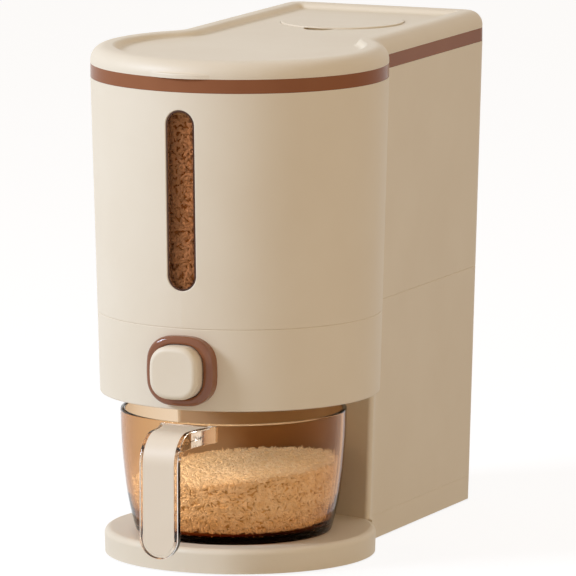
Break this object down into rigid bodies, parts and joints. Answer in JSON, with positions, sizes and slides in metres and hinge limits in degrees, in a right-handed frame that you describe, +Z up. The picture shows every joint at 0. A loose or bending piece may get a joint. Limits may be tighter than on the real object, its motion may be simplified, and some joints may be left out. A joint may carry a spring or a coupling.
{
  "type": "rice dispenser",
  "caption": "Countertop rice dispenser with a sight window, lift-off lid, push button that swings a gate open, and a clear handled measuring cup in a bay below.",
  "frame": {"origin": "centre of the overall footprint, on the surface the feet stand on", "axes": "+X to the dispenser's own right seen from the front, +Y to the back, away from the cup's handle, +Z up"},
  "size_m": [0.1964, 0.3854, 0.3382],
  "materials": {
    "body_beige": "fine matte moulded ABS, warm beige",
    "handle_beige": "satin moulded ABS, warm beige",
    "trim_brown": "glossy copper-brown moulding",
    "cup_amber": "polished clear amber plastic",
    "handle_clear": "polished clear plastic",
    "window_clear": "polished clear plastic",
    "rubber_grey": "soft matte silicone rubber",
    "rubber_brown": "soft matte silicone rubber",
    "steel": "plain zinc-coated and stainless steel",
    "inner_white": "plain matte moulded plastic, off-white"
  },
  "bodies": {
    "housing": {"base_tray": "body_beige", "rubber_feet": "rubber_grey", "base_screws": "steel", "lower_body": "body_beige", "head_underplate": "inner_white", "underplate_screws": "steel", "upper_body": "body_beige", "body_screws": "steel", "window_gasket": "rubber_brown", "window_pane": "window_clear", "trim_band": "trim_brown", "hopper_funnel": "inner_white", "funnel_screws": "steel", "gate_frame": "inner_white", "gate_frame_screws": "steel", "shaft_bushes": "inner_white", "button_bezel": "trim_brown", "return_spring": "steel"},
    "button": {"push_button": "body_beige", "button_carriage": "inner_white"},
    "gate": {"gate_flap": "inner_white", "gate_seal": "rubber_grey", "gate_shaft": "steel", "gate_pinion": "inner_white", "shaft_clip": "steel"},
    "lid": {"lid_shell": "body_beige", "lid_gasket": "rubber_grey", "desiccant_basket": "inner_white"},
    "cap": {"desiccant_cap": "body_beige", "cap_seal": "rubber_grey"},
    "cup": {"cup_bowl": "cup_amber", "cup_handle": "handle_clear", "handle_plate": "handle_beige"}
  },
  "joints": [
    {"name": "button_press", "type": "slide", "parent": "housing", "child": "button", "axis": [0, 1, 0], "range_m": [0, 0.008], "stiffness_N_per_m": 300, "springref_m": -0.01, "deforming": ["return_spring"]},
    {"name": "gate_swing", "type": "hinge", "parent": "housing", "child": "gate", "pos_m": [0, -0.0547, 0.1429], "axis": [1, 0, 0], "range_deg": [0, 51]},
    {"name": "lid_lift", "type": "slide", "parent": "housing", "child": "lid", "axis": [0, 0, 1], "range_m": [0, 0.08]},
    {"name": "cap_lift", "type": "slide", "parent": "lid", "child": "cap", "axis": [0, 0, 1], "range_m": [0, 0.03]},
    {"name": "cup_pull", "type": "slide", "parent": "housing", "child": "cup", "axis": [0, -1, 0], "range_m": [0, 0.165]}
  ],
  "couplings": [
    {"joint": "gate_swing", "follows": "button_press", "rad_per_m": 111.11}
  ]
}
